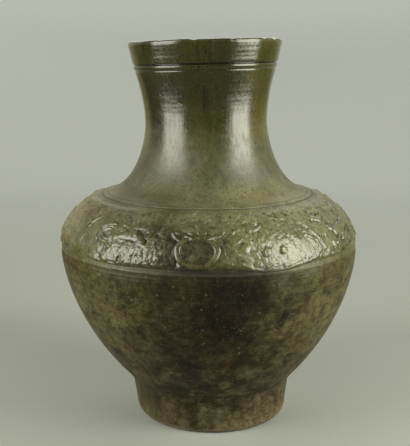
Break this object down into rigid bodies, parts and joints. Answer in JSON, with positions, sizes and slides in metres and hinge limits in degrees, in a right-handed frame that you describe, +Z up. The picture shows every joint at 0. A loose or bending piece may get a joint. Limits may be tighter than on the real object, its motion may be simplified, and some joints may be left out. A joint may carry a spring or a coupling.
{
  "type": "hu jar",
  "caption": "Large glazed earthenware hu jar: waisted neck, broad shoulder with a moulded frieze and beast masks, tapering belly and low hollow foot.",
  "frame": {"origin": "centre of the jar's box on the plane that it stands on", "axes": "+Z up the jar, -Y towards the front mask, +X to the right seen from the front"},
  "size_m": [0.3175, 0.3206, 0.402],
  "materials": {
    "foot_glaze": "thin worn olive lead glaze with buff patches",
    "belly_glaze": "olive lead glaze, dulled and stained dark brown in patches",
    "shoulder_glaze": "olive green lead glaze, satin to glossy",
    "frieze_glaze": "olive green lead glaze pooled round the relief, glossy",
    "neck_glaze": "glossy olive green lead glaze with brown patches and fine throwing lines"
  },
  "bodies": {
    "root": {"foot_ring": "foot_glaze", "lower_bowl": "belly_glaze", "shoulder_dome": "shoulder_glaze", "neck": "neck_glaze", "mouth_rim": "neck_glaze", "frieze_front_right": "frieze_glaze", "frieze_back_right": "frieze_glaze", "frieze_back_left": "frieze_glaze", "frieze_front_left": "frieze_glaze", "mask_front": "frieze_glaze", "mask_back": "frieze_glaze", "mask_ring_front": "frieze_glaze", "mask_ring_back": "frieze_glaze"}
  },
  "joints": []
}
